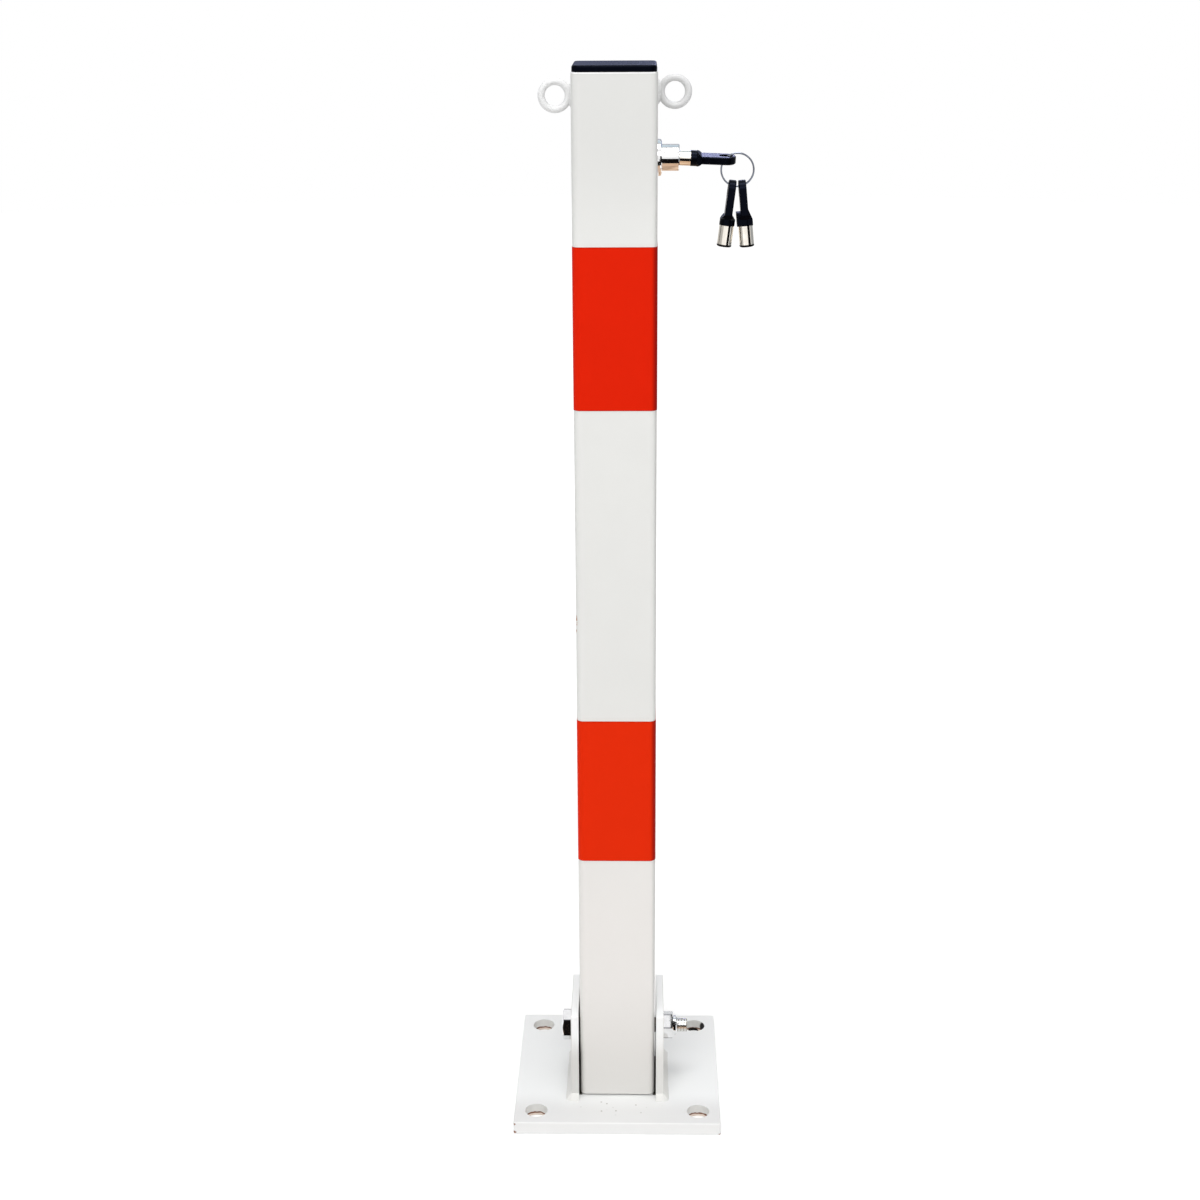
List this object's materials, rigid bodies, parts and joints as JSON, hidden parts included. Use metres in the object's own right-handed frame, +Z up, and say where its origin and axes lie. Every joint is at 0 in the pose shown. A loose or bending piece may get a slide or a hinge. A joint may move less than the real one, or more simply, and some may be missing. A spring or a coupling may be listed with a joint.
{
  "type": "fold-down bollard",
  "caption": "Square steel parking post, white with red bands, that lifts and folds about a bolt between two ears on a bolted base plate, with a push lock, key and chain eyelets.",
  "frame": {"origin": "middle of the base plate's underside, on the ground", "axes": "+X to the right towards the lock, +Y away from the front towards the side the post folds to, +Z up along the post"},
  "size_m": [0.1819, 0.165, 0.8201],
  "materials": {
    "white_paint": "satin",
    "red_film": "satin",
    "cap_plastic": "satin",
    "key_plastic": "satin",
    "zinc_plate": "satin",
    "chrome_plate": "polished",
    "nickel_plate": "polished",
    "bare_steel": "satin",
    "spring_steel": "satin",
    "nylon": "satin"
  },
  "bodies": {
    "base": {"base_plate": "white_paint", "left_ear": "white_paint", "right_ear": "white_paint", "left_ear_weld": "white_paint", "right_ear_weld": "white_paint", "pivot_bolt": "zinc_plate", "pivot_nut": "zinc_plate", "nut_insert": "nylon"},
    "bar": {"lock_bar": "bare_steel", "bar_eye": "bare_steel", "pivot_sleeve": "bare_steel"},
    "post": {"post_tube": "white_paint", "bar_guide": "bare_steel", "top_cap": "cap_plastic", "left_eyelet": "white_paint", "right_eyelet": "white_paint", "left_eyelet_weld": "white_paint", "right_eyelet_weld": "white_paint", "upper_red_band": "red_film", "lower_red_band": "red_film", "lock_housing": "chrome_plate", "lock_ring_nut": "zinc_plate", "lock_spring": "spring_steel"},
    "plunger": {"lock_plunger": "chrome_plate", "lock_pin": "bare_steel"},
    "key": {"lock_core": "nickel_plate", "key_barrel": "nickel_plate", "key_head": "key_plastic"},
    "ring": {"key_ring": "chrome_plate"},
    "left_spare_key": {"left_spare_barrel": "nickel_plate", "left_spare_head": "key_plastic"},
    "right_spare_key": {"right_spare_barrel": "nickel_plate", "right_spare_head": "key_plastic"}
  },
  "joints": [
    {"name": "post_fold", "type": "hinge", "parent": "base", "child": "bar", "pos_m": [0, -0.013, 0.058], "axis": [-1, 0, 0], "range_deg": [0, 92]},
    {"name": "post_lift", "type": "slide", "parent": "bar", "child": "post", "axis": [0, 0, 1], "range_m": [0, 0.0355]},
    {"name": "plunger_push", "type": "slide", "parent": "post", "child": "plunger", "axis": [-1, 0, 0], "range_m": [0, 0.012], "stiffness_N_per_m": 300, "springref_m": -0.006, "deforming": ["lock_spring"]},
    {"name": "key_turn", "type": "hinge", "parent": "plunger", "child": "key", "pos_m": [0.0454, -0.013, 0.7555], "axis": [-1, 0, 0], "range_deg": [0, 90]},
    {"name": "ring_swing", "type": "hinge", "parent": "key", "child": "ring", "pos_m": [0.0823, -0.013, 0.75391], "axis": [1, 0, 0], "range_deg": [-15, 15]},
    {"name": "left_key_swing", "type": "hinge", "parent": "ring", "child": "left_spare_key", "pos_m": [0.08293, -0.013, 0.73588], "axis": [0.9925, 0, -0.1219], "range_deg": [-22, 22]},
    {"name": "right_key_swing", "type": "hinge", "parent": "ring", "child": "right_spare_key", "pos_m": [0.09004, -0.013, 0.73588], "axis": [0.9954, 0, 0.0958], "range_deg": [-22, 22]}
  ],
  "couplings": [
    {"joint": "post_lift", "follows": "post_fold", "m_per_rad": 0.022}
  ]
}
